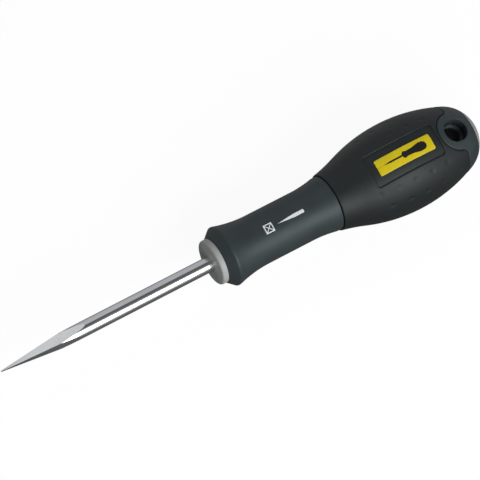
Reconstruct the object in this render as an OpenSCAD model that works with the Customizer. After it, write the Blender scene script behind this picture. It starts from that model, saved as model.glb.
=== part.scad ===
// Bradawl with a square-pointed steel blade and a moulded three-material handle.
// The tool lies along X: the point towards -X, the butt towards +X, the label facing +Z.
// The origin is on the tool's axis, where the blade leaves the nose collar.

/* [Blade] */
// Diameter of the round blade
blade_d = 5.7; // [5.2:0.1:6.5]
// Length of the blade in front of the collar
blade_l = 86.5; // [60:0.5:120]
// Length of the four-sided ground point
point_l = 34; // [20:0.5:45]
// Width across the flats at the very tip
tip_w = 0.4; // [0.1:0.02:0.6]
// Turn of the point's flats away from the label side, in degrees
point_turn = 15; // [0:1:45]
// Diameter of the tang, a little less than the blade's so that a shoulder meets the collar
tang_d = 5; // [4:0.1:5]
// Length of the tang inside the handle
tang_l = 70; // [60:1:85]
// Distance from the collar's face to the tang's wings
wing_x = 40; // [30:1:45]
// Length of the wings along the tang
wing_l = 10; // [6:1:14]
// Width across both wings
wing_w = 9; // [7:0.5:10.5]
// Thickness of the wings
wing_t = 2; // [1.5:0.1:3]

/* [Core] */
// Diameter of the nose collar
collar_d = 17.4; // [15:0.1:18]
// Thickness of the nose collar
collar_t = 2.4; // [1.6:0.1:4]
// Rounding of the collar's front edge
collar_edge = 0.8; // [0.3:0.1:1.2]
// Diameter of the core inside the neck
core_neck_d = 12.8; // [12:0.1:14]
// Diameter of the core inside the grip
core_grip_d = 16; // [15:0.1:18]
// Length of the cone between the core's two diameters
core_cone_l = 10; // [8:1:14]
// Diameter of the button where the core shows at the butt
button_d = 19.4; // [18:0.1:21]

/* [Neck] */
// Diameter of the neck where it meets the collar
nose_d = 17.7; // [16:0.1:19]
// Length of the cone from the collar to the flared rim
nose_cone_l = 3.2; // [2:0.1:5]
// Diameter of the flared rim
rim_d = 23.2; // [21:0.1:26]
// Width of the flared rim's rounded top
rim_w = 0.7; // [0.4:0.1:1.5]
// Length of the hollow behind the rim
front_hollow_l = 13.7; // [9:0.1:18]
// Diameter of the straight waist
waist_d = 19.3; // [17:0.1:20]
// Length of the straight waist
waist_l = 18.6; // [10:0.1:26]
// Length of the hollow between the waist and the rear lip
rear_hollow_l = 10; // [7:0.1:14]
// Diameter of the lip at the rear of the neck
lip_d = 21.3; // [20.2:0.1:22]
// Width of that lip
lip_w = 1.6; // [0.8:0.1:3]

/* [Grip] */
// Diameter of the rubber's front edge
grip_front_d = 22.4; // [22.1:0.1:24]
// Largest diameter of the grip
grip_d = 35; // [33:0.1:38]
// Distance from the rubber's front edge to the largest diameter
swell_l = 31.2; // [26:0.1:38]
// Length of the hollow start of the swell
swell_hollow_l = 9.7; // [6:0.1:12]
// Slope of the swell at the rubber's front edge, in degrees
swell_start_slope = 11.2; // [5:0.1:15]
// Distance from the largest diameter to the end of the butt
tail_l = 32.9; // [30:0.1:36]
// Radius of the butt's dome
butt_r = 13.8; // [12.5:0.1:14.5]
// Thickness of the rubber
grip_t = 2.9; // [2:0.1:3.2]
// Gap in the seams where the rubber ends against the shell
seam = 0.2; // [0.1:0.05:0.4]

/* [Hang hole] */
// Distance from the end of the butt back to the middle of the hole
hole_back = 12.1; // [11.5:0.1:13]
// Diameter of the hole
hole_d = 6.8; // [6:0.1:7.2]
// Width of the hole's wider mouths
mouth_d = 8.6; // [7.6:0.1:9]
// How much longer than wide the mouths are, along the tool
mouth_stretch = 1.4; // [0.4:0.1:2]
// Height over the tool's axis of the sloping ledge where a mouth ends
ledge_z = 6.2; // [5.5:0.1:8]
// Drop of the ledge from the mouth's wall to the narrow part of the hole
ledge_drop = 0.5; // [0.4:0.1:1.2]
// Thickness of the lining round the hole inside the core
lining_t = 0.8; // [0.6:0.1:1]
// Diameter of the shell's boss round the mouth
boss_d = 14.8; // [13:0.1:16]
// Distance from the end of the butt back to the rubber's rear edge
band_back = 10.8; // [9.5:0.1:11.4]
// Fillet where the boss runs into the band behind it
boss_fillet = 2; // [1:0.1:3]

/* [Panel and label] */
// Distance from the rubber's front edge to the panel
panel_start = 14.4; // [12:0.1:16]
// Length of the sunk panel
panel_l = 29; // [26:0.1:30]
// Width of the sunk panel
panel_w = 12.8; // [10:0.1:13.5]
// Corner radius of the panel
panel_corner = 1.2; // [1:0.1:3]
// Depth of the panel under the grip's surface
panel_sink = 0.6; // [0.5:0.1:1.2]
// Length of the label
label_l = 23.7; // [16:0.1:24]
// Width of the label
label_w = 6.2; // [4:0.1:8]
// Corner radius of the label
label_corner = 0.6; // [0.3:0.1:1.5]
// Thickness of the label
label_t = 0.25; // [0.15:0.05:0.5]

/* [Hidden] */
$fn = 96;

// Number of straight steps in an arc of an outline
arc_steps = 14;
// Number of straight steps in a rounded corner
corner_steps = 6;
// Reach of a cutting solid beyond what it cuts
over = 1;

// Places along the tool's axis
rim_x = collar_t + nose_cone_l;
waist_x = rim_x + rim_w + front_hollow_l;
rear_hollow_x = waist_x + waist_l;
lip_x = rear_hollow_x + rear_hollow_l;
neck_end_x = lip_x + lip_w;
grip_x = neck_end_x + seam;
swell_x = grip_x + swell_hollow_l;
crest_x = grip_x + swell_l;
butt_x = crest_x + tail_l;
band_x = butt_x - band_back;
hole_x = butt_x - hole_back;
panel_x = grip_x + panel_start + panel_l / 2;
dome_x = butt_x - butt_r;

// Radii used in the outlines
crest_r = grip_d / 2;
waist_r = waist_d / 2;

// A circular arc in an outline, from (x0, r0) on a slope of a0 to x1 on a slope of a1.
// Each point is [x, radius, slope].
function arc(x0, r0, a0, x1, a1) =
    let (bend = (x1 - x0) / (sin(a1) - sin(a0)))
    [for (i = [0:arc_steps])
        let (a = a0 + (a1 - a0) * i / arc_steps)
        [x0 + bend * (sin(a) - sin(a0)), r0 + bend * (cos(a0) - cos(a)), a]];

// The slope at the far end of an arc that is level at one end and rises by h over the length l
function end_slope(l, h) = 2 * atan(h / l);

// Outline points moved square to the outline: inwards by depth, or outwards where it is negative
function inset(points, depth) =
    [for (p = points) [p[0] + depth * sin(p[2]), p[1] - depth * cos(p[2])]];

function reversed(points) = [for (i = [len(points) - 1:-1:0]) points[i]];

// Points round part of a circle, from the direction a0 to the direction a1
function round_points(centre, r, a0, a1, steps) =
    [for (i = [0:steps])
        let (a = a0 + (a1 - a0) * i / steps)
        centre + r * [cos(a), sin(a)]];

// Arcs of the neck
front_slope = end_slope(front_hollow_l, rim_d / 2 - waist_r);
rear_slope = end_slope(rear_hollow_l, lip_d / 2 - waist_r);
front_hollow = arc(rim_x + rim_w, rim_d / 2, -front_slope, waist_x, 0);
rear_hollow = arc(rear_hollow_x, waist_r, 0, lip_x, rear_slope);

// Arcs of the swell: a hollow start, a full front, a full rear that runs into the butt's dome.
// The slope where the first two meet comes from how far they rise together.
swell_full_l = swell_l - swell_hollow_l;
swell_rise = crest_r - grip_front_d / 2;
start_tan = tan(swell_start_slope / 2);
rise_b = swell_l + swell_rise * start_tan;
rise_c = swell_rise - swell_hollow_l * start_tan;
meet_tan = 2 * rise_c / (rise_b + sqrt(rise_b ^ 2 - 4 * swell_full_l * start_tan * rise_c));
swell_slope = 2 * atan(meet_tan);
swell_r = crest_r - swell_full_l * meet_tan;
tail_bend = ((dome_x - crest_x) ^ 2 + crest_r ^ 2 - butt_r ^ 2) / (2 * (crest_r - butt_r));
dome_slope = atan2(dome_x - crest_x, tail_bend - crest_r);
dome_start_x = dome_x + butt_r * sin(dome_slope);
swell_start = arc(grip_x, grip_front_d / 2, swell_start_slope, swell_x, swell_slope);
swell_front = arc(swell_x, swell_r, swell_slope, crest_x, 0);
swell_rear = arc(crest_x, crest_r, 0, dome_start_x, -dome_slope);

// The dome: its side is part of the shell, its end is the core's button
button_slope = acos(button_d / 2 / butt_r);
button_x = dome_x + butt_r * sin(button_slope);
dome_side = arc(dome_start_x, butt_r * cos(dome_slope), -dome_slope, button_x, -button_slope);
dome_end = arc(button_x, button_d / 2, -button_slope, butt_x, -90);

// The outside of the handle behind the neck, up to the button
bulb = concat(swell_start, swell_front, swell_rear, dome_side);

// Turns an outline of [x, radius] points about the tool's axis
module turned(points)
    rotate([0, 90, 0])
        rotate_extrude()
            polygon([for (p = points) [p[1], p[0]]]);

// A cylinder along the tool's axis
module bar(d, l)
    rotate([0, 90, 0])
        cylinder(d = d, h = l);

// A rectangle with rounded corners, centred on the origin
module rounded_rectangle(l, w, r) {
    x = l / 2 - r;
    y = w / 2 - r;
    polygon(concat(
        round_points([x, y], r, 0, 90, corner_steps),
        round_points([-x, y], r, 90, 180, corner_steps),
        round_points([-x, -y], r, 180, 270, corner_steps),
        round_points([x, -y], r, 270, 360, corner_steps)));
}

// One side of the ground point: what the wheel takes off, on the +Z side of the bar
module ground_flat() {
    slope = atan2(blade_d / 2 - tip_w / 2, point_l);
    translate([-blade_l, 0, tip_w / 2])
        rotate([0, -slope, 0])
            translate([-over, -blade_d, 0])
                cube([point_l + blade_d, 2 * blade_d, 2 * blade_d]);
}

// The end of the blade that the core holds
module tang() {
    bar(tang_d, tang_l);
    translate([wing_x, -wing_w / 2, -wing_t / 2])
        cube([wing_l, wing_w, wing_t]);
}

// The part of the rear, seen along Z, where the shell reaches the surface: the band and the boss.
// Grown by a margin it is also the opening that the rubber leaves for them.
module shell_window(margin) {
    boss_r = boss_d / 2 + margin;
    fillet_r = boss_fillet - margin;
    edge_x = band_x - margin;
    fillet_x = edge_x - fillet_r;
    fillet_y = sqrt((boss_r + fillet_r) ^ 2 - (hole_x - fillet_x) ^ 2);
    meet = atan2(fillet_y, fillet_x - hole_x);
    fillet = round_points([fillet_x, fillet_y], fillet_r, 0, meet - 180, corner_steps);
    boss = round_points([hole_x, 0], boss_r, meet, 360 - meet, 2 * arc_steps);
    polygon(concat(
        [[butt_x, grip_d], [edge_x, grip_d]],
        fillet,
        boss,
        reversed([for (p = fillet) [p[0], -p[1]]]),
        [[edge_x, -grip_d], [butt_x, -grip_d]]));
}

module shell_window_solid(margin)
    translate([0, 0, -grip_d])
        linear_extrude(2 * grip_d)
            shell_window(margin);

// The sleeve between two depths under the bulb's surface, from start_x back to the button
module sleeve(start_x, inner, outer) {
    inside = inset(bulb, inner);
    outside = inset(bulb, outer);
    turned(concat([[start_x, outside[0][1]]], outside, reversed(inside), [[start_x, inside[0][1]]]));
}

// An upright block with the outline of the panel or the label
module panel_block(l, w, r)
    translate([panel_x, 0, 0])
        linear_extrude(grip_d)
            rounded_rectangle(l, w, r);

module panel_recess()
    intersection() {
        panel_block(panel_l, panel_w, panel_corner);
        sleeve(grip_x, panel_sink, -over);
    }

// An upright bar with the mouths' long round outline, between two heights where the hang hole is
module mouth_bar(w, low, high)
    translate([hole_x, 0, low]) {
        for (side = [-1, 1])
            translate([side * mouth_stretch / 2, 0, 0])
                cylinder(d = w, h = high - low);
        translate([-mouth_stretch / 2, -w / 2, 0])
            cube([mouth_stretch, w, high - low]);
    }

// The hang hole's lining, as a bar that fills it
module hole_lining(reach)
    mouth_bar(mouth_d + 2 * lining_t, -reach, reach);

// The wider mouth of the hang hole on the +Z side, with the slope of its ledge
module hole_mouth() {
    mouth_bar(mouth_d, ledge_z, grip_d);
    translate([hole_x, 0, ledge_z - ledge_drop])
        cylinder(d1 = hole_d, d2 = mouth_d, h = ledge_drop);
}

// Steel bar with a square point in front and a winged tang behind
module blade()
    color("silver") {
        difference() {
            translate([-blade_l, 0, 0])
                bar(blade_d, blade_l);
            for (i = [0:3])
                rotate([90 * i - point_turn, 0, 0])
                    ground_flat();
        }
        tang();
    }

// Light-grey moulding from the nose collar through the handle to the button at the butt
module core()
    color("darkgray")
        difference() {
            turned(concat(
                [[0, 0]],
                arc(0, collar_d / 2 - collar_edge, 90, collar_edge, 0),
                [[collar_t, collar_d / 2],
                 [collar_t, core_neck_d / 2],
                 [grip_x, core_neck_d / 2],
                 [grip_x + core_cone_l, core_grip_d / 2],
                 [button_x, core_grip_d / 2]],
                dome_end));
            tang();
            hole_lining(grip_d);
        }

// Slate moulding over the core: the neck, the seat under the rubber, the band, both bosses and the
// lining of the hang hole, which ties the two bosses together through the core
module shell()
    color("darkslategray")
        difference() {
            union() {
                turned(concat(
                    [[collar_t, core_neck_d / 2],
                     [collar_t, nose_d / 2],
                     [rim_x, rim_d / 2]],
                    front_hollow,
                    rear_hollow,
                    [[neck_end_x, lip_d / 2],
                     [neck_end_x, grip_front_d / 2]],
                    bulb,
                    [[button_x, core_grip_d / 2],
                     [grip_x + core_cone_l, core_grip_d / 2],
                     [grip_x, core_neck_d / 2]]));
                hole_lining(core_grip_d / 2 + over);
            }
            difference() {
                sleeve(neck_end_x, grip_t, -over);
                shell_window_solid(0);
            }
            translate([hole_x, 0, -grip_d])
                cylinder(d = hole_d, h = 2 * grip_d);
            hole_mouth();
            mirror([0, 0, 1])
                hole_mouth();
        }

// Black rubber sleeve with a sunk panel on both broad sides
module grip()
    color("dimgray")
        difference() {
            sleeve(grip_x, grip_t, 0);
            shell_window_solid(seam);
            panel_recess();
            mirror([0, 0, 1])
                panel_recess();
        }

// Yellow plate on the floor of the upper panel
module label()
    color("gold")
        intersection() {
            panel_block(label_l, label_w, label_corner);
            sleeve(grip_x, panel_sink, panel_sink - label_t);
        }

blade();
core();
shell();
grip();
label();
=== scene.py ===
from math import acos, asin, atan2, cos, degrees, hypot, pi, radians, sin, sqrt, tan

import bmesh
import bpy
from mathutils import Matrix, Vector


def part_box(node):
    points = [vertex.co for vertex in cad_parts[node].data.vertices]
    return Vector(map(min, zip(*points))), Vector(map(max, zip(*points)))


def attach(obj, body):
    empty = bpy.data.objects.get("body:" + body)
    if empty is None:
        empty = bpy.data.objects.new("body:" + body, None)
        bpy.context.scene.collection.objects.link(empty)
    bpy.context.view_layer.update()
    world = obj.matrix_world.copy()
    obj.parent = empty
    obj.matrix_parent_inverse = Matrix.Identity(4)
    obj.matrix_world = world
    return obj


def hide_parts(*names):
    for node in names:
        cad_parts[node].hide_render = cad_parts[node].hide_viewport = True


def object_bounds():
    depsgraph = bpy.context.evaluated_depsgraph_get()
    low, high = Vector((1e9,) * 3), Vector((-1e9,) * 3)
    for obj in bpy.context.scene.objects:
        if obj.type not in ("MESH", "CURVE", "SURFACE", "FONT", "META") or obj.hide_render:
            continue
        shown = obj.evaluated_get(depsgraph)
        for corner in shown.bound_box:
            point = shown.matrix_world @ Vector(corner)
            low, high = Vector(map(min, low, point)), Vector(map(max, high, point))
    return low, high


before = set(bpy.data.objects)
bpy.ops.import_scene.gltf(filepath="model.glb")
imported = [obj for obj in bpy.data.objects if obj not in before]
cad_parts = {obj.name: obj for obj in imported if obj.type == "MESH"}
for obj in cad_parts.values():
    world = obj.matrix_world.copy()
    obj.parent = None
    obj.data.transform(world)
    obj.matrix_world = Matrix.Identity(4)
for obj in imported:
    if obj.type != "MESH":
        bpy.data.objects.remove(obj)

cad_low, cad_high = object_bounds()

# The bradawl lies along X with its point towards -X and its label facing +Z.
# Shapes are worked out in millimetres and scaled to metres when a piece is finished.
# Edges that bend by more than SHARP stay sharp, and a full round has ROUND_STEPS steps.
MM = 0.001
SHARP = radians(40)
ROUND_STEPS = 128

# How close corners are when they are merged or picked
SAME = 1e-5
WELD = 1e-4
MIRROR_WELD = 1e-3
LAST_WELD = 2e-3
NEAR = 0.01
AROUND = 0.1

# The slanting direction along which a piece's corners are put in order
PLACE_ORDER = Vector((1.0, 0.37, 0.11))

# Blade
TIP_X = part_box("blade")[0].x / MM
BAR_R = 2.85
POINT_L = 34.0
TIP_HALF = 0.2
POINT_TURN = radians(15)
RIDGE_ROUND = 0.05
TANG_R = 2.5
TANG_L = 70.0
TANG_END_ROUND = 0.4
WING_X = (40.0, 50.0)
WING_HALF_T = 1.0
WING_HALF_W = 4.5

# Core
COLLAR_R = 8.7
COLLAR_T = 2.4
COLLAR_FRONT_ROUND = 0.8
COLLAR_BACK_ROUND = 0.25
COLLAR_BORE_ROUND = 0.15
CORE_NECK_R = 6.4
CORE_GRIP_R = 8.0
CORE_CONE_L = 10.0
BUTTON_R = 9.7

# Neck
NOSE_R = 8.85
NOSE_ROUND = 0.15
RIM_X = 5.6
RIM_R = 11.6
RIM_W = 0.7
RIM_FRONT_ROUND = 0.6
RIM_BACK_ROUND = 1.0
WAIST_X = (20.0, 38.6)
WAIST_R = 9.65
LIP_X = 48.6
LIP_R = 10.65
LIP_ROUND = 0.2
NECK_END_X = 50.3

# Bulb of the handle
GRIP_X = 50.4
GRIP_FRONT_R = 11.2
SWELL_X = 60.1
CREST_X = 81.6
CREST_R = 17.5
START_SLOPE = radians(11.2)
SWELL_SLOPE = radians(19.3)
BUTT_X = 114.5
BUTT_R = 13.8
RUBBER_T = 2.9
SEAM = 0.15
GRIP_RIM_ROUND = 0.25
WINDOW_RIM_ROUND = 0.5

# Hang hole, and the slate boss and band round it
HOLE_X = 102.4
BORE_R = 3.4
BORE_Z = 5.7
BORE_ROUND = 0.5
MOUTH_R = 4.3
MOUTH_SHIFT = 0.7
MOUTH_ROUND = 0.3
LEDGE_Z = 6.2
LEDGE_FOOT_ROUND = 0.1
LEDGE_WALL = 0.5
LINING_T = 0.8
BOSS_FRONT_X = 94.0
BOSS_R = 7.4
BOSS_ROUND = 0.3
BAND_X = 103.7
BOSS_FILLET = 2.0
PROUD = 0.05

# Sunk panel and label
PANEL_X = 79.3
PANEL_HALF_L = 14.5
PANEL_HALF_W = 6.4
PANEL_CORNER = 1.2
PANEL_SINK = 0.6
PANEL_FOOT_ROUND = 0.3
LABEL_HALF_L = 11.85
LABEL_HALF_W = 3.1
LABEL_CORNER = 0.6
LABEL_T = 0.25
LABEL_ROUND = 0.08

# Sunk lozenges in the rubber
LOZENGE_X = 64.7
LOZENGE_COUNT = 5
LOZENGE_ROWS = 8
LOZENGE_PITCH = 7.13
LOZENGE_HALF_L = 1.5
LOZENGE_HALF_W = 1.2
LOZENGE_SINK = 0.18
LOZENGE_FLANK = 0.3
LOZENGE_ZONE = (63.0, 97.0)

# Printed marks: a square and a taper on the neck, and an awl on the label.
# An outline's stops are a place along it and a half width there, both from 0 to 1.
SQUARE_X = 22.5
SQUARE_HALF = 1.55
DIAGONAL_REACH = 1.6
PRINT_HALF_LINE = 0.2
TAPER_X = (26.0, 37.4)
TAPER_HALF_W = 0.65
TAPER_STOPS = [(0.0, 0.0), (0.62, 1.0), (0.985, 1.0), (1.0, 0.0)]
AWL_X = (70.2, 88.4)
AWL_HALF_W = 1.75
AWL_STOPS = [(0.0, 0.02), (0.14, 0.20), (0.425, 0.20), (0.43, 0.58), (0.45, 0.58), (0.455, 0.80),
             (0.53, 0.60), (0.66, 0.64), (0.84, 1.0), (0.93, 0.90), (0.985, 0.55), (1.0, 0.0)]

# Values that follow from the sizes above
HOLLOW_BEND = (SWELL_X - GRIP_X) / (sin(SWELL_SLOPE) - sin(START_SLOPE))
FRONT_BEND = (CREST_X - SWELL_X) / sin(SWELL_SLOPE)
DOME_X = BUTT_X - BUTT_R
TAIL_BEND = ((DOME_X - CREST_X) ** 2 + CREST_R ** 2 - BUTT_R ** 2) / (2 * (CREST_R - BUTT_R))
DOME_START_X = DOME_X + BUTT_R * (DOME_X - CREST_X) / hypot(DOME_X - CREST_X, TAIL_BEND - CREST_R)
BUTTON_X = DOME_X + sqrt(BUTT_R ** 2 - BUTTON_R ** 2)
LINING_R = MOUTH_R + LINING_T

# The handle's flat pattern: y runs from the label side round to SIDE_Y at the handle's side.
# Up to PLAN_Y, or PLAN_SHARE of the radius, it is the real distance from the middle, so that
# outlines seen along Z stay true. UNDER is the height that stands for the core's surface.
PLAN_Y = 9.8
PLAN_SHARE = 0.8
SIDE_Y = 20.0
UNDER = -9.0


# Outlines

def bulb(x):
    """Radius and slope of the handle's outside behind the neck."""
    if x < SWELL_X:
        slope = asin(sin(START_SLOPE) + (x - GRIP_X) / HOLLOW_BEND)
        return GRIP_FRONT_R + HOLLOW_BEND * (cos(START_SLOPE) - cos(slope)), slope
    if x < DOME_START_X:
        bend = FRONT_BEND if x < CREST_X else TAIL_BEND
        slope = asin((CREST_X - x) / bend)
        return CREST_R - bend * (1 - cos(slope)), slope
    slope = asin((DOME_X - x) / BUTT_R)
    return BUTT_R * cos(slope), slope


def round_arc(centre, radius, start, end, steps):
    """Points round part of a circle, from one direction to another, in degrees."""
    turns = [radians(start + (end - start) * i / steps) for i in range(steps + 1)]
    return [(centre[0] + radius * cos(a), centre[1] + radius * sin(a)) for a in turns]


def rounded(points, steps=5):
    """An outline whose corners are rounded. Each point is (x, y) or (x, y, corner radius)."""
    outline = []
    for i, point in enumerate(points):
        here = Vector(point[:2])
        if len(point) == 2 or i in (0, len(points) - 1):
            outline.append(tuple(here))
            continue
        back = (Vector(points[i - 1][:2]) - here).normalized()
        on = (Vector(points[i + 1][:2]) - here).normalized()
        half = acos(max(-1.0, min(1.0, back.dot(on)))) / 2
        centre = here + (back + on).normalized() * point[2] / sin(half)
        first = here + back * point[2] / tan(half) - centre
        last = here + on * point[2] / tan(half) - centre
        sweep = first.angle_signed(last)
        for j in range(steps + 1):
            turned = Matrix.Rotation(-sweep * j / steps, 2) @ first
            outline.append(tuple(centre + turned))
    return outline


def hollow(x0, r0, x1, r1, level_at_end, steps=16):
    """A hollow arc of the neck, level at one of its ends."""
    rise = 2 * atan2(abs(r1 - r0), x1 - x0)
    bend = (x1 - x0) / sin(rise)
    low_x, low_r = (x1, r1) if level_at_end else (x0, r0)
    points = []
    for i in range(steps + 1):
        x = x0 + (x1 - x0) * i / steps
        points.append((x, low_r + bend - sqrt(bend ** 2 - (x - low_x) ** 2)))
    return points


def window_border(margin):
    """Where slate meets rubber, seen along Z, from the handle's side to its middle line."""
    edge_x = BAND_X - margin
    fillet = BOSS_FILLET - margin
    boss = BOSS_R + margin
    fillet_x = edge_x - fillet
    fillet_y = sqrt((boss + fillet) ** 2 - (HOLE_X - fillet_x) ** 2)
    meet = degrees(atan2(fillet_y, fillet_x - HOLE_X))
    return ([(edge_x, SIDE_Y)]
            + round_arc((fillet_x, fillet_y), fillet, 0, meet - 180, steps=10)
            + round_arc((HOLE_X, 0), boss, meet, 180, steps=28)[1:])


def half_mouth(radius):
    """The upper half of the hang hole's long round outline, from its left end to its right."""
    return (round_arc((HOLE_X - MOUTH_SHIFT, 0), radius, 180, 90, steps=20)
            + round_arc((HOLE_X + MOUTH_SHIFT, 0), radius, 90, 0, steps=20))


def from_hole(co):
    """Distance from the hang hole's middle line, seen along Z."""
    return hypot(max(0, abs(co.x - HOLE_X) - MOUTH_SHIFT), co.y)


def half_rectangle(middle, half_l, half_w, corner):
    """The upper half of a rounded rectangle, from its right end to its left."""
    right, left = middle + half_l - corner, middle - half_l + corner
    return ([(middle + half_l, 0)]
            + round_arc((right, half_w - corner), corner, 0, 90, steps=8)
            + round_arc((left, half_w - corner), corner, 90, 180, steps=8)
            + [(middle - half_l, 0)])


# Laying the flat pattern on the handle

def turn_round(y, radius):
    """Angle from the label side at a place of the flat pattern."""
    plan = min(PLAN_Y, PLAN_SHARE * radius)
    if y <= plan:
        return asin(y / radius)
    edge = asin(plan / radius)
    return edge + (pi / 2 - edge) * (y - plan) / (SIDE_Y - plan)


def on_bulb(x, y, height):
    """A place of the flat pattern, at a height over the bulb's surface."""
    radius, slope = bulb(x)
    reach = radius + height * cos(slope)
    turn = turn_round(y, reach)
    return Vector((x - height * sin(slope), reach * sin(turn), reach * cos(turn)))


def on_core(x, y):
    """A place of the flat pattern, let straight down to the core's surface."""
    up_cone = min(1, max(0, (x - GRIP_X) / CORE_CONE_L))
    radius = CORE_NECK_R + (CORE_GRIP_R - CORE_NECK_R) * up_cone
    edge = asin(LINING_R / radius)
    if y <= LINING_R:
        turn = asin(y / radius)
    else:
        turn = edge + (pi / 2 - edge) * (y - LINING_R) / (SIDE_Y - LINING_R)
    return Vector((x, radius * sin(turn), radius * cos(turn)))


# Mesh helpers

def lay_out(bm, outlines, height):
    """Flat faces from outlines of (x, y) points. Neighbours share their border."""
    faces = []
    for outline in outlines:
        faces.append(bm.faces.new([bm.verts.new((x, y, height)) for x, y in outline]))
    bmesh.ops.remove_doubles(bm, verts=bm.verts, dist=WELD)
    bmesh.ops.recalc_face_normals(bm, faces=bm.faces)
    return faces


def pull(bm, faces, keep=False, **places):
    """Draws faces out of the mesh, to a place on an axis or by a rise. Gives back the moved faces."""
    made = bmesh.ops.extrude_face_region(bm, geom=faces)["geom"]
    for v in (g for g in made if isinstance(g, bmesh.types.BMVert)):
        v.co.z += places.get("rise", 0)
        v.co.x = places.get("x", v.co.x)
        v.co.y = places.get("y", v.co.y)
    if not keep:
        bmesh.ops.delete(bm, geom=faces, context="FACES")
    return [g for g in made if isinstance(g, bmesh.types.BMFace)]


def open_sides(bm):
    """Takes away the walls in the pattern's two mirror planes."""
    walls = [f for f in bm.faces
             if all(abs(v.co.y) < SAME for v in f.verts)
             or all(abs(v.co.y - SIDE_Y) < SAME for v in f.verts)]
    bmesh.ops.delete(bm, geom=walls, context="FACES")


def soften(bm, edges, width, segments=3):
    """Rounds edges."""
    bmesh.ops.bevel(bm, geom=edges, offset=width, offset_type="OFFSET", segments=segments,
                    profile=0.5, affect="EDGES", material=-1, clamp_overlap=True)


def slice_up(bm, axis, cuts, wanted=None):
    """Cuts faces square to an axis, so that they can bend."""
    normal = Vector((axis == "x", axis == "y", axis == "z"))
    for cut in cuts:
        faces = [f for f in bm.faces if wanted is None or wanted(f)]
        # Each edge and corner once, in the faces' order
        edges = list(dict.fromkeys(e for f in faces for e in f.edges))
        verts = list(dict.fromkeys(v for f in faces for v in f.verts))
        bmesh.ops.bisect_plane(bm, geom=verts + edges + faces, dist=SAME,
                               plane_co=normal * cut, plane_no=normal)


def steps_between(start, end, step):
    """Evenly spaced places between two ends, without the ends."""
    count = max(1, round((end - start) / step))
    return [start + (end - start) * i / count for i in range(1, count)]


def mirror_all(bm, axis):
    """Adds the mirrored other half and joins it on."""
    bmesh.ops.mirror(bm, geom=bm.verts[:] + bm.edges[:] + bm.faces[:], matrix=Matrix(),
                     merge_dist=MIRROR_WELD, axis=axis)


def spun(bm, outline):
    """Turns an outline of (x, radius) points about the tool's axis."""
    verts = [bm.verts.new((x, 0, r)) for x, r in outline]
    edges = [bm.edges.new(pair) for pair in zip(verts, verts[1:])]
    bmesh.ops.spin(bm, geom=verts + edges, cent=(0, 0, 0), axis=(1, 0, 0), angle=2 * pi,
                   steps=ROUND_STEPS, use_merge=True)
    bmesh.ops.remove_doubles(bm, verts=bm.verts, dist=WELD)
    bmesh.ops.recalc_face_normals(bm, faces=bm.faces)


def add(name, data):
    """Puts a mesh, lamp or camera into the scene."""
    made = bpy.data.objects.new(name, data)
    bpy.context.scene.collection.objects.link(made)
    return made


def finished(name, bm, stands_for, materials):
    """Turns a bmesh into a piece that stands for a CAD node."""
    # Corners go in order of place, so that of two close ones the same is kept in every run
    bm.verts.sort(key=lambda v: v.co.dot(PLACE_ORDER))
    bmesh.ops.remove_doubles(bm, verts=bm.verts, dist=LAST_WELD)
    bmesh.ops.recalc_face_normals(bm, faces=bm.faces)
    bmesh.ops.scale(bm, vec=(MM, MM, MM), verts=bm.verts)
    for f in bm.faces:
        f.smooth = True
    for e in bm.edges:
        one, other = e.link_faces
        e.smooth = one.material_index == other.material_index and e.calc_face_angle() < SHARP
    mesh = bpy.data.meshes.new(name)
    bm.to_mesh(mesh)
    bm.free()
    piece = add(name, mesh)
    for material in materials:
        mesh.materials.append(material)
    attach(piece, "root")
    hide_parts(stands_for)


def cut_with(bm, cutter):
    """The bmesh with another one cut out of it."""
    holders = []
    for part in (bm, cutter):
        mesh = bpy.data.meshes.new("cutting")
        part.to_mesh(mesh)
        part.free()
        holders.append(add("cutting", mesh))
    cut = holders[0].modifiers.new("cut", "BOOLEAN")
    cut.operation = "DIFFERENCE"
    cut.solver = "EXACT"
    cut.object = holders[1]
    result = bmesh.new()
    result.from_object(holders[0], bpy.context.evaluated_depsgraph_get())
    for holder in holders:
        mesh = holder.data
        bpy.data.objects.remove(holder)
        bpy.data.meshes.remove(mesh)
    return result


# Material helpers

def feed(tree, value, socket):
    """Gives a socket a link or a plain value."""
    if isinstance(value, bpy.types.NodeSocket):
        tree.links.new(value, socket)
    else:
        socket.default_value = value


def node(tree, kind, **settings):
    """Adds a node. Settings in capitals are its inputs, the others its properties."""
    made = tree.nodes.new("ShaderNode" + kind)
    for key, value in settings.items():
        if key[0].isupper():
            made.inputs[key.replace("_", " ")].default_value = value
        else:
            setattr(made, key, value)
    return made


def sums(tree, operation, *values):
    """A Math node on links or numbers."""
    made = node(tree, "Math", operation=operation)
    for value, socket in zip(values, made.inputs):
        feed(tree, value, socket)
    return made.outputs[0]


def blend_colour(tree, factor, first, second):
    """A colour that goes from the first to the second with the factor."""
    made = node(tree, "Mix", data_type="RGBA")
    # The node's colours are its inputs 6 and 7 and its output 2
    feed(tree, factor, made.inputs[0])
    feed(tree, first, made.inputs[6])
    feed(tree, second, made.inputs[7])
    return made.outputs[2]


def spread(tree, value, low, high, from_low=0.0, from_high=1.0):
    """Maps a value to another range."""
    made = node(tree, "MapRange", From_Min=from_low, From_Max=from_high, To_Min=low, To_Max=high)
    tree.links.new(value, made.inputs["Value"])
    return made.outputs["Result"]


def split_place(tree, place):
    """The X, Y and Z of a place."""
    made = node(tree, "SeparateXYZ")
    tree.links.new(place, made.inputs[0])
    return made.outputs


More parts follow.
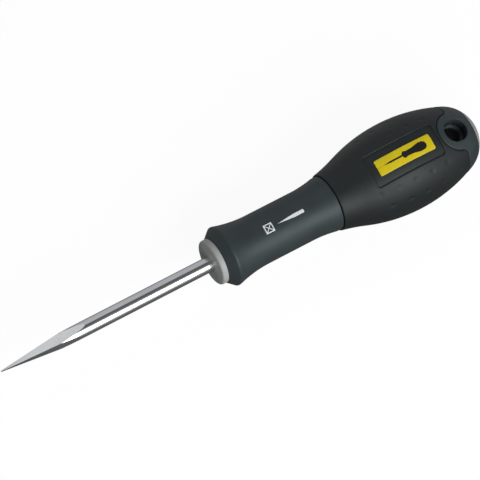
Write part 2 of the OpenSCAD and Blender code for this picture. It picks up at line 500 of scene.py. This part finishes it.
def ramp_of(tree, value, stops):
    """A colour from stops of (place from 0 to 1, colour)."""
    made = node(tree, "ValToRGB")
    marks = made.color_ramp.elements
    while len(marks) < len(stops):
        marks.new(1.0)
    for mark, (spot, colour) in zip(marks, stops):
        mark.position = spot
        mark.color = (*colour, 1)
    tree.links.new(value, made.inputs["Fac"])
    return made.outputs["Color"]


def group(name, inputs, outputs):
    """An empty shader node group with named sockets."""
    tree = bpy.data.node_groups.new(name, "ShaderNodeTree")
    for label, kind in inputs.items():
        tree.interface.new_socket(label, in_out="INPUT", socket_type="NodeSocket" + kind)
    for label, kind in outputs.items():
        tree.interface.new_socket(label, in_out="OUTPUT", socket_type="NodeSocket" + kind)
    return tree, tree.nodes.new("NodeGroupInput").outputs, tree.nodes.new("NodeGroupOutput").inputs


def use(tree, grouped, **values):
    """Puts a node group into a material."""
    made = tree.nodes.new("ShaderNodeGroup")
    made.node_tree = grouped
    for key, value in values.items():
        feed(tree, value, made.inputs[key.replace("_", " ")])
    return made.outputs


def finish(name, **settings):
    """A material with a Principled shader whose plain values are set."""
    made = bpy.data.materials.new(name)
    made.use_nodes = True
    tree = made.node_tree
    shader = tree.nodes["Principled BSDF"].inputs
    for key, value in settings.items():
        shader[key.replace("_", " ")].default_value = value
    return made, tree, shader


def object_place(tree):
    """The place on the piece itself."""
    return node(tree, "TexCoord").outputs["Object"]


def bump(tree, shader, height, strength, depth):
    """Feeds a height to the shader's normal."""
    made = node(tree, "Bump", Strength=strength, Distance=depth)
    tree.links.new(height, made.inputs["Height"])
    tree.links.new(made.outputs["Normal"], shader["Normal"])


# Shared effects

def make_grain():
    """Fine moulded grain: a height for the bump and slow patches for gloss and colour."""
    tree, given, out = group("moulded grain",
                             {"Place": "Vector", "Grain": "Float", "Patches": "Float"},
                             {"Height": "Float", "Patch": "Float"})
    fine = node(tree, "TexNoise", Detail=2.0, Roughness=0.6)
    patch = node(tree, "TexNoise", Detail=3.0, Roughness=0.55)
    for tex, label in ((fine, "Grain"), (patch, "Patches")):
        tree.links.new(given["Place"], tex.inputs["Vector"])
        tree.links.new(given[label], tex.inputs["Scale"])
    tree.links.new(fine.outputs["Fac"], out["Height"])
    slow = spread(tree, patch.outputs["Fac"], 0, 1, from_low=0.3, from_high=0.7)
    tree.links.new(slow, out["Patch"])
    return tree


def make_edge_wear():
    """Where edges stick out and rub: a mask broken up by noise."""
    tree, given, out = group("edge wear",
                             {"Place": "Vector", "Reach": "Float", "Break up": "Float"},
                             {"Mask": "Float"})
    round_off = node(tree, "Bevel", samples=6)
    tree.links.new(given["Reach"], round_off.inputs["Radius"])
    along = node(tree, "VectorMath", operation="DOT_PRODUCT")
    tree.links.new(round_off.outputs["Normal"], along.inputs[0])
    tree.links.new(node(tree, "NewGeometry").outputs["Normal"], along.inputs[1])
    edge = spread(tree, along.outputs["Value"], 1, 0, from_low=0.86, from_high=0.99)
    rub = node(tree, "TexNoise", Detail=4.0, Roughness=0.65)
    tree.links.new(given["Place"], rub.inputs["Vector"])
    tree.links.new(given["Break up"], rub.inputs["Scale"])
    patchy = spread(tree, rub.outputs["Fac"], 0, 1, from_low=0.42, from_high=0.62)
    tree.links.new(sums(tree, "MULTIPLY", edge, patchy), out["Mask"])
    return tree


def make_streaks():
    """Fine lines that grinding and polishing leave, drawn out along one direction."""
    tree, given, out = group("polishing streaks",
                             {"Place": "Vector", "Along": "Vector"},
                             {"Line": "Float", "Cloud": "Float"})
    drawn = node(tree, "Mapping")
    tree.links.new(given["Place"], drawn.inputs["Vector"])
    tree.links.new(given["Along"], drawn.inputs["Scale"])
    line = node(tree, "TexNoise", Scale=1.0, Detail=3.0, Roughness=0.7)
    tree.links.new(drawn.outputs["Vector"], line.inputs["Vector"])
    cloud = node(tree, "TexNoise", Scale=60.0, Detail=2.0)
    tree.links.new(given["Place"], cloud.inputs["Vector"])
    tree.links.new(line.outputs["Fac"], out["Line"])
    tree.links.new(cloud.outputs["Fac"], out["Cloud"])
    return tree


def make_print():
    """Inside of a printed outline: nearer the middle line than half its height, on the label side."""
    tree, given, out = group("printed outline",
                             {"Across": "Float", "Half height": "Float", "Up": "Float"},
                             {"Mask": "Float"})
    inside = sums(tree, "LESS_THAN", sums(tree, "ABSOLUTE", given["Across"]), given["Half height"])
    above = sums(tree, "GREATER_THAN", given["Up"], 0.0)
    tree.links.new(sums(tree, "MULTIPLY", inside, above), out["Mask"])
    return tree


grain = make_grain()
edge_wear = make_edge_wear()
streaks = make_streaks()
printed = make_print()


# Printed marks

def outline_mark(tree, x, y, z, ends, half_w, stops):
    """Inside of an outline that lies along the tool."""
    along = spread(tree, x, 0, 1, from_low=ends[0] * MM, from_high=ends[1] * MM)
    share = ramp_of(tree, along, [(spot, (height, height, height)) for spot, height in stops])
    half = sums(tree, "MULTIPLY", share, half_w * MM)
    return use(tree, printed, Across=y, Half_height=half, Up=z)["Mask"]


def neck_mark(tree, x, y, z):
    """A square point seen end on, with its four ridges, and its taper seen from the side."""
    box_x = sums(tree, "ABSOLUTE", sums(tree, "SUBTRACT", x, SQUARE_X * MM))
    box_y = sums(tree, "ABSOLUTE", y)
    reach = sums(tree, "MAXIMUM", box_x, box_y)
    off_side = sums(tree, "ABSOLUTE", sums(tree, "SUBTRACT", reach, SQUARE_HALF * MM))
    off_ridge = sums(tree, "ABSOLUTE", sums(tree, "SUBTRACT", box_x, box_y))
    sides = sums(tree, "LESS_THAN", off_side, PRINT_HALF_LINE * MM)
    ridges = sums(tree, "MULTIPLY", sums(tree, "LESS_THAN", off_ridge, PRINT_HALF_LINE * MM),
                  sums(tree, "LESS_THAN", reach, DIAGONAL_REACH * MM))
    square = sums(tree, "MULTIPLY", sums(tree, "MAXIMUM", sides, ridges),
                  sums(tree, "GREATER_THAN", z, 0.0))
    taper = outline_mark(tree, x, y, z, TAPER_X, TAPER_HALF_W, TAPER_STOPS)
    return sums(tree, "MAXIMUM", square, taper)


def label_mark(tree, x, y, z):
    """A small awl seen from the side."""
    return outline_mark(tree, x, y, z, AWL_X, AWL_HALF_W, AWL_STOPS)


# Finishes

def make_steel(name, edge_tint, along, dark, light, roughness, depth):
    """Bare steel with fine lines, drawn out on the axis where their pattern's scale is smallest."""
    made, tree, shader = finish(name, Metallic=1.0, Specular_Tint=(*edge_tint, 1))
    lines = use(tree, streaks, Place=object_place(tree), Along=along)
    shade = spread(tree, lines["Cloud"], 0, 1, from_low=0.35, from_high=0.65)
    tree.links.new(blend_colour(tree, shade, (*dark, 1), (*light, 1)), shader["Base Color"])
    gloss = spread(tree, lines["Line"], *roughness, from_low=0.3, from_high=0.7)
    tree.links.new(gloss, shader["Roughness"])
    bump(tree, shader, lines["Line"], strength=0.02, depth=depth)
    return made


def make_moulded(name, grain_scale, patch_scale, wear_reach, wear_scale, dark, light, rubbed,
                 roughness, relief, depth, mark=None, ink=None, **settings):
    """Moulded plastic or rubber with a fine grain, slow patches, rubbed edges and perhaps a print."""
    made, tree, shader = finish(name, **settings)
    where = object_place(tree)
    grains = use(tree, grain, Place=where, Grain=grain_scale, Patches=patch_scale)
    worn = use(tree, edge_wear, Place=where, Reach=wear_reach, Break_up=wear_scale)
    base = blend_colour(tree, grains["Patch"], (*dark, 1), (*light, 1))
    base = blend_colour(tree, worn["Mask"], base, (*rubbed, 1))
    if mark:
        base = blend_colour(tree, mark(tree, *split_place(tree, where)), base, (*ink, 1))
    tree.links.new(base, shader["Base Color"])
    tree.links.new(spread(tree, grains["Patch"], *roughness), shader["Roughness"])
    bump(tree, shader, grains["Height"], strength=relief, depth=depth)
    return made


polished_steel = make_steel("polished_steel", edge_tint=(0.6, 0.6, 0.61), along=(14, 1900, 1900),
                            dark=(0.69, 0.70, 0.71), light=(0.75, 0.76, 0.765),
                            roughness=(0.14, 0.20), depth=0.00002)
ground_steel = make_steel("ground_steel", edge_tint=(0.2, 0.2, 0.2), along=(3200, 120, 120),
                          dark=(0.64, 0.66, 0.65), light=(0.70, 0.72, 0.71),
                          roughness=(0.32, 0.37), depth=0.00003)
light_grey = make_moulded("light_grey_plastic", grain_scale=5200.0, patch_scale=160.0,
                          wear_reach=0.0003, wear_scale=900.0,
                          dark=(0.37, 0.385, 0.376), light=(0.412, 0.43, 0.42),
                          rubbed=(0.49, 0.515, 0.50), roughness=(0.42, 0.54),
                          relief=0.18, depth=0.00006, IOR=1.5)
slate = make_moulded("slate_plastic", grain_scale=4300.0, patch_scale=95.0,
                     wear_reach=0.00035, wear_scale=700.0,
                     dark=(0.028, 0.036, 0.038), light=(0.034, 0.043, 0.045),
                     rubbed=(0.075, 0.086, 0.088), roughness=(0.43, 0.53),
                     relief=0.16, depth=0.00006, mark=neck_mark, ink=(0.80, 0.82, 0.82),
                     IOR=1.43, Specular_Tint=(0.85, 1.0, 0.98, 1))
rubber = make_moulded("black_rubber", grain_scale=6000.0, patch_scale=70.0,
                      wear_reach=0.0004, wear_scale=500.0,
                      dark=(0.0105, 0.0120, 0.0122), light=(0.0138, 0.0156, 0.0159),
                      rubbed=(0.022, 0.024, 0.0245), roughness=(0.47, 0.59),
                      relief=0.22, depth=0.00006, IOR=1.43, Specular_Tint=(0.87, 1.0, 0.98, 1))
yellow = make_moulded("yellow_plate", grain_scale=2600.0, patch_scale=220.0,
                      wear_reach=0.00012, wear_scale=1500.0,
                      dark=(0.63, 0.50, 0.005), light=(0.71, 0.57, 0.008),
                      rubbed=(0.82, 0.72, 0.16), roughness=(0.30, 0.42),
                      relief=0.05, depth=0.00004, mark=label_mark, ink=(0.012, 0.012, 0.012),
                      IOR=1.42, Coat_Weight=0.1, Coat_Roughness=0.18)


# Blade

def make_blade():
    """Round bar with a square ground point, and a winged tang that the core hides."""
    finishes = [polished_steel, ground_steel]
    ground = finishes.index(ground_steel)
    bm = bmesh.new()
    upright = Matrix.Translation((TIP_X, 0, 0)) @ Matrix.Rotation(pi / 2, 4, "Y")
    bmesh.ops.create_circle(bm, cap_ends=True, radius=BAR_R, segments=ROUND_STEPS, matrix=upright)
    shoulder = pull(bm, bm.faces[:], keep=True, x=0.0)
    bmesh.ops.inset_region(bm, faces=shoulder, thickness=BAR_R - TANG_R, use_even_offset=True)
    end = pull(bm, shoulder, x=TANG_L)
    soften(bm, list(end[0].edges), TANG_END_ROUND)

    def on_wing(f):
        return WING_X[0] < f.calc_center_median().x < WING_X[1]

    slice_up(bm, "x", WING_X)
    slice_up(bm, "z", (-WING_HALF_T, WING_HALF_T), on_wing)
    for side in (-1, 1):
        faces = [f for f in bm.faces if on_wing(f) and abs(f.calc_center_median().z) < WING_HALF_T
                 and f.calc_center_median().y * side > 0]
        pull(bm, faces, y=side * WING_HALF_W)
    slope = atan2(BAR_R - TIP_HALF, POINT_L)
    for i in range(4):
        turn = Matrix.Rotation(i * pi / 2 - POINT_TURN, 3, "X")
        cut = bmesh.ops.bisect_plane(bm, geom=bm.verts[:] + bm.edges[:] + bm.faces[:], dist=1e-6,
                                     plane_co=turn @ Vector((TIP_X, 0, TIP_HALF)),
                                     plane_no=turn @ Vector((-sin(slope), 0, cos(slope))),
                                     clear_outer=True)["geom_cut"]
        border = [g for g in cut if isinstance(g, bmesh.types.BMEdge)]
        for f in bmesh.ops.edgeloop_fill(bm, edges=border)["faces"]:
            f.material_index = ground
    bmesh.ops.recalc_face_normals(bm, faces=bm.faces)
    ridges = [e for e in bm.edges if len(e.link_faces) == 2
              and all(f.material_index == ground for f in e.link_faces)]
    soften(bm, ridges, RIDGE_ROUND, segments=2)
    finished("awl_blade", bm, "blade", finishes)


# Core

def make_core():
    """Light-grey moulding: the nose collar, the bar inside the handle and the butt button."""
    bm = bmesh.new()
    outline = rounded([(TANG_L, 0), (TANG_L, TANG_R), (0, TANG_R, COLLAR_BORE_ROUND),
                       (0, COLLAR_R, COLLAR_FRONT_ROUND), (COLLAR_T, COLLAR_R, COLLAR_BACK_ROUND),
                       (COLLAR_T, CORE_NECK_R), (GRIP_X, CORE_NECK_R),
                       (GRIP_X + CORE_CONE_L, CORE_GRIP_R), (BUTTON_X, CORE_GRIP_R)], steps=6)
    dome = round_arc((DOME_X, 0), BUTT_R, degrees(asin(BUTTON_R / BUTT_R)), 0, steps=24)
    spun(bm, outline + dome)
    # The cross hole that the shell lines, cut from well below the core to well above it
    cutter = bmesh.new()
    half = half_mouth(LINING_R)
    around = half + [(x, -y) for x, y in half[-2:0:-1]]
    pull(cutter, lay_out(cutter, [around], -2 * CORE_GRIP_R), keep=True, rise=4 * CORE_GRIP_R)
    bmesh.ops.recalc_face_normals(cutter, faces=cutter.faces)
    finished("handle_core", cut_with(bm, cutter), "core", [light_grey])


# Shell

def draw_ring(bm, edges, moved):
    """Draws a ring of edges on: each of its corners goes to a place worked out from where it is."""
    made = bmesh.ops.extrude_edge_only(bm, edges=edges)["geom"]
    for v in (g for g in made if isinstance(g, bmesh.types.BMVert)):
        v.co = moved(v.co)
    return [g for g in made if isinstance(g, bmesh.types.BMEdge)]


def round_tool(x, radius):
    """Moves a corner to a circle round the tool's axis."""
    def moved(co):
        turn = atan2(co.y, co.z)
        return x, radius * sin(turn), radius * cos(turn)
    return moved


def round_hole(radius, shift, z):
    """Moves a corner to a long round outline about the hang hole's axis."""
    def moved(co):
        turn = atan2(co.y, co.x - HOLE_X)
        along, across = abs(cos(turn)), abs(sin(turn))
        reach = shift * along + sqrt(radius ** 2 - (shift * across) ** 2)
        if radius * along < shift * across:
            reach = radius / across
        return HOLE_X + reach * cos(turn), reach * sin(turn), z
    return moved


def make_shell():
    """Slate moulding: the neck, the seat under the rubber, and the band and bosses at the rear."""
    bm = bmesh.new()
    border = window_border(0)
    seat = [(NECK_END_X, 0), (NECK_END_X, SIDE_Y)] + border
    rear = border + half_mouth(MOUTH_R) + [(BUTTON_X, 0), (BUTTON_X, SIDE_Y)]
    tops = pull(bm, lay_out(bm, [seat, rear], UNDER), keep=True, rise=-RUBBER_T - UNDER)
    tops.sort(key=lambda f: f.calc_center_median().x)
    top = pull(bm, tops[1:], rise=RUBBER_T + PROUD)[0]
    open_sides(bm)
    front = [f for f in bm.faces if all(abs(v.co.x - NECK_END_X) < WELD for v in f.verts)]
    bmesh.ops.delete(bm, geom=front, context="FACES")

    def at_mouth(e):
        return all(abs(from_hole(v.co) - MOUTH_R) < NEAR for v in e.verts)

    rims = [e for e in top.edges if len(e.link_faces) == 2 and not at_mouth(e)]
    soften(bm, rims, BOSS_ROUND)
    rims = [e for e in bm.edges if len(e.link_faces) == 2 and at_mouth(e)
            and all(abs(v.co.z - PROUD) < SAME for v in e.verts)]
    soften(bm, rims, MOUTH_ROUND, segments=4)
    wall = [f for f in bm.faces if all(at_mouth(e) for e in f.edges)]
    bmesh.ops.delete(bm, geom=wall, context="FACES")
    # On the core's side the hole is wider by the lining
    for v in (v for v in bm.verts if v.co.z < UNDER + NEAR and from_hole(v.co) < MOUTH_R + NEAR):
        middle = max(HOLE_X - MOUTH_SHIFT, min(HOLE_X + MOUTH_SHIFT, v.co.x))
        v.co.x = middle + (v.co.x - middle) * LINING_R / MOUTH_R
        v.co.y *= LINING_R / MOUTH_R
    slice_up(bm, "y", steps_between(0, PLAN_Y, step=0.5))
    slice_up(bm, "y", [PLAN_Y] + steps_between(PLAN_Y, SIDE_Y, step=0.4))
    slice_up(bm, "x", steps_between(NECK_END_X, BOSS_FRONT_X, step=1.5))
    slice_up(bm, "x", [BOSS_FRONT_X] + steps_between(BOSS_FRONT_X, BUTTON_X, step=0.5))
    for v in bm.verts:
        x, y, z = v.co
        v.co = on_core(x, y) if z < UNDER + NEAR else on_bulb(x, y, z)
    mirror_all(bm, "Y")

    # The hole's wall goes on down over a sloping ledge into the bore.
    # The lining's outside goes down the hole in the core.
    ends = [e for e in bm.edges if len(e.link_faces) == 1
            and all(from_hole(v.co) < LINING_R + AROUND for v in e.verts)]
    ring = [e for e in ends if from_hole(e.verts[0].co) < (MOUTH_R + LINING_R) / 2]
    draw_ring(bm, [e for e in ends if e not in ring], round_hole(LINING_R, MOUTH_SHIFT, 0))
    for radius, z in rounded([(MOUTH_R, LEDGE_Z + LEDGE_WALL), (MOUTH_R, LEDGE_Z, LEDGE_FOOT_ROUND),
                              (BORE_R, BORE_Z, BORE_ROUND), (BORE_R, 0)]):
        shift = MOUTH_SHIFT * (radius - BORE_R) / (MOUTH_R - BORE_R)
        ring = draw_ring(bm, ring, round_hole(radius, shift, z))
    mirror_all(bm, "Z")

    # The neck goes on from the front of the seat, ring by ring, and back through its bore
    ends = [e for e in bm.edges if len(e.link_faces) == 1]
    bore_end = [e for e in ends
                if all(hypot(v.co.y, v.co.z) < CORE_NECK_R + AROUND for v in e.verts)]
    ring = [e for e in ends if e not in bore_end]
    seat_r = hypot(*ring[0].verts[0].co.yz)
    front_hollow = hollow(RIM_X + RIM_W, RIM_R, WAIST_X[0], WAIST_R, level_at_end=True)
    rear_hollow = hollow(WAIST_X[1], WAIST_R, LIP_X, LIP_R, level_at_end=False)
    neck = rounded([(NECK_END_X, seat_r), (NECK_END_X, LIP_R, LIP_ROUND), (LIP_X, LIP_R)])
    neck += rear_hollow[-2::-1]
    neck += [(x, WAIST_R) for x in reversed(steps_between(*WAIST_X, step=1.5))]
    neck += front_hollow[:1:-1]
    neck += rounded([front_hollow[1], (RIM_X + RIM_W, RIM_R, RIM_BACK_ROUND),
                     (RIM_X, RIM_R, RIM_FRONT_ROUND), (COLLAR_T, NOSE_R, NOSE_ROUND),
                     (COLLAR_T, CORE_NECK_R)])
    for x, radius in neck:
        ring = draw_ring(bm, ring, round_tool(x, radius))
    bmesh.ops.bridge_loops(bm, edges=ring + bore_end)
    finished("handle_shell", bm, "shell", [slate])


# Grip

def lozenge_depth(x, y, z):
    """How far the rubber is sunk at a place on its outside: staggered rows of small lozenges."""
    turn = degrees(atan2(abs(y), z))
    gap = 180 / LOZENGE_ROWS
    row = int(turn // gap)
    if row in (0, LOZENGE_ROWS - 1):
        return 0.0
    first, count = LOZENGE_X, LOZENGE_COUNT
    if row % 2 == 0:
        first, count = LOZENGE_X + LOZENGE_PITCH / 2, LOZENGE_COUNT - 1
    spot = max(0, min(count - 1, round((x - first) / LOZENGE_PITCH)))
    along = abs(x - first - spot * LOZENGE_PITCH) / LOZENGE_HALF_L
    across = hypot(y, z) * radians(abs(turn - gap * (row + 0.5))) / LOZENGE_HALF_W
    return LOZENGE_SINK * max(0.0, min(1.0, (1 - along - across) / LOZENGE_FLANK))


def make_grip():
    """Black rubber sleeve with a sunk panel on both broad sides and sunk lozenges."""
    bm = bmesh.new()
    panel = half_rectangle(PANEL_X, PANEL_HALF_L, PANEL_HALF_W, PANEL_CORNER)
    skin = [(GRIP_X, 0), (GRIP_X, SIDE_Y)] + window_border(SEAM) + panel
    tops = pull(bm, lay_out(bm, [skin, panel], -RUBBER_T), keep=True, rise=RUBBER_T)
    tops.sort(key=lambda f: f.calc_area())
    floor = pull(bm, tops[:1], rise=-PANEL_SINK)[0]
    open_sides(bm)
    soften(bm, [e for e in floor.edges if len(e.link_faces) == 2], PANEL_FOOT_ROUND)
    rims = [e for e in bm.edges if len(e.link_faces) == 2
            and all(abs(v.co.z) < SAME for v in e.verts)]
    window = [e for e in rims
              if all(v.co.x > PANEL_X + PANEL_HALF_L + AROUND for v in e.verts)]
    soften(bm, [e for e in rims if e not in window], GRIP_RIM_ROUND)
    soften(bm, window, WINDOW_RIM_ROUND)

    def outside(f):
        return any(v.co.z > -RUBBER_T + NEAR for v in f.verts)

    zone_start, zone_end = LOZENGE_ZONE
    slice_up(bm, "y", steps_between(0, PLAN_Y, step=1.2))
    slice_up(bm, "y", [PLAN_Y] + steps_between(PLAN_Y, SIDE_Y, step=1.2))
    slice_up(bm, "x", steps_between(GRIP_X, zone_start, step=1.0) + [zone_start, zone_end])
    slice_up(bm, "x", steps_between(zone_end, BAND_X, step=0.7))
    slice_up(bm, "x", steps_between(zone_start, zone_end, step=3.4))
    slice_up(bm, "y", steps_between(0, PLAN_Y, step=0.4), outside)
    slice_up(bm, "y", steps_between(PLAN_Y, SIDE_Y, step=0.3), outside)
    slice_up(bm, "x", steps_between(zone_start, zone_end, step=0.425), outside)
    for v in bm.verts:
        v.co = on_bulb(*v.co)
    mirror_all(bm, "Y")
    mirror_all(bm, "Z")
    for v in bm.verts:
        radius = bulb(v.co.x)[0]
        if abs(hypot(v.co.y, v.co.z) - radius) < NEAR:
            v.co.yz *= 1 - lozenge_depth(*v.co) / radius
    finished("rubber_grip", bm, "grip", [rubber])


# Label

def make_label():
    """Yellow plate on the floor of the upper panel."""
    bm = bmesh.new()
    outline = half_rectangle(PANEL_X, LABEL_HALF_L, LABEL_HALF_W, LABEL_CORNER)
    top = pull(bm, lay_out(bm, [outline], 0), keep=True, rise=LABEL_T)[0]
    open_sides(bm)
    soften(bm, [e for e in top.edges if len(e.link_faces) == 2], LABEL_ROUND)
    slice_up(bm, "x", steps_between(PANEL_X - LABEL_HALF_L, PANEL_X + LABEL_HALF_L, step=0.6))
    slice_up(bm, "y", steps_between(0, LABEL_HALF_W, step=0.5))
    for v in bm.verts:
        v.co = on_bulb(v.co.x, v.co.y, v.co.z - PANEL_SINK)
    mirror_all(bm, "Y")
    finished("side_label", bm, "label", [yellow])


make_blade()
make_core()
make_shell()
make_grip()
make_label()


# Floor, light and camera, in metres

FLOOR_HALF = 4.0
FLOOR_GAP = 0.0001
FLOOR_TONE = 0.08
FLOOR_GLOW = 0.93
MIRRORED_SHARE = (0.08, 0.5)
MIRRORED_Y = (0.01, 0.05)
TOOL_MIDDLE = Vector((0.02, 0, 0))
SKY_SIDE = (0.53, 0.53, 0.57)
SKY_TOP = (0.115, 0.115, 0.115)
SKY_LOW = (0.40, 0.40, 0.40)
SKY_EDGE = (0.50, 0.50, 0.50)
SKY_UNDER = (0.25, 0.25, 0.25)


def make_floor():
    """Pale floor under the bulb, seen as white, that keeps the tool's shadow."""
    bm = bmesh.new()
    bmesh.ops.create_grid(bm, x_segments=8, y_segments=8, size=FLOOR_HALF,
                          matrix=Matrix.Translation((0, 0, cad_low.z - FLOOR_GAP)))
    mesh = bpy.data.meshes.new("floor")
    bm.to_mesh(mesh)
    bm.free()
    made, tree, shader = finish("pale_floor", Roughness=1.0, Specular_IOR_Level=0.0,
                                Base_Color=(FLOOR_TONE, FLOOR_TONE, FLOOR_TONE, 1),
                                Emission_Color=(1, 1, 1, 1))
    ray = node(tree, "LightPath").outputs
    seen = sums(tree, "MAXIMUM", ray["Is Camera Ray"], ray["Is Transmission Ray"])
    # Reflections see it greyer than the camera does, most of all under the tool and on the key
    # lamp's side, so that the steel keeps its edges against it and the hang hole stays dark
    across = split_place(tree, object_place(tree))["Y"]
    greyer = spread(tree, across, *MIRRORED_SHARE, *MIRRORED_Y)
    seen = sums(tree, "MAXIMUM", seen, sums(tree, "MULTIPLY", ray["Is Glossy Ray"], greyer))
    tree.links.new(sums(tree, "MULTIPLY", seen, FLOOR_GLOW), shader["Emission Strength"])
    mesh.materials.append(made)
    add("floor", mesh)


def make_lamp(name, where, size, power):
    """A soft box that faces the middle of the tool."""
    lamp = bpy.data.lights.new(name, "AREA")
    lamp.shape = "RECTANGLE"
    lamp.size, lamp.size_y = size
    lamp.energy = power
    made = add(name, lamp)
    made.location = where
    made.rotation_euler = (TOOL_MIDDLE - made.location).to_track_quat("-Z", "Y").to_euler()


def make_world():
    """Plain studio surroundings: pale sides and a darker strip overhead. The camera sees white."""
    world = bpy.data.worlds.new("studio")
    bpy.context.scene.world = world
    world.use_nodes = True
    tree = world.node_tree
    way = split_place(tree, node(tree, "TexCoord").outputs["Generated"])
    # Degrees from straight up, round the tool's axis, with the key lamp's side below zero
    turn = spread(tree, sums(tree, "ARCTAN2", way["Y"], way["Z"]), 0, 1, from_low=-pi, from_high=pi)
    stops = [(-180, SKY_UNDER), (-100, SKY_UNDER), (-88, SKY_EDGE), (-30, SKY_LOW),
             (-2, SKY_TOP), (27, SKY_TOP), (36, SKY_SIDE), (180, SKY_SIDE)]
    sky = ramp_of(tree, turn, [((angle + 180) / 360, colour) for angle, colour in stops])
    seen = node(tree, "LightPath").outputs["Is Camera Ray"]
    tree.links.new(blend_colour(tree, seen, sky, (1, 1, 1, 1)),
                   tree.nodes["Background"].inputs["Color"])


def make_camera():
    """The photograph's view: from above the point's side of the tool, through a long lens."""
    camera = bpy.data.cameras.new("camera")
    camera.lens = 236.2
    camera.sensor_width = 36.0
    where = Vector((-0.34342, -0.18391, 1.05830))
    look = Vector((0.31565, 0.16477, -0.93447))
    up = Vector((0.43402, 0.85072, 0.29661))
    made = add("camera", camera)
    turn = Matrix((look.cross(up), up, -look)).transposed().to_4x4()
    made.matrix_world = Matrix.Translation(where) @ turn
    bpy.context.scene.camera = made


make_floor()
make_lamp("key", where=(0.10, -0.502, 0.458), size=(0.80, 0.48), power=4.4)
make_lamp("card", where=(-0.05, 0.44, 0.54), size=(0.22, 0.30), power=0.2)
make_world()
make_camera()
bpy.context.scene.view_settings.view_transform = "Standard"
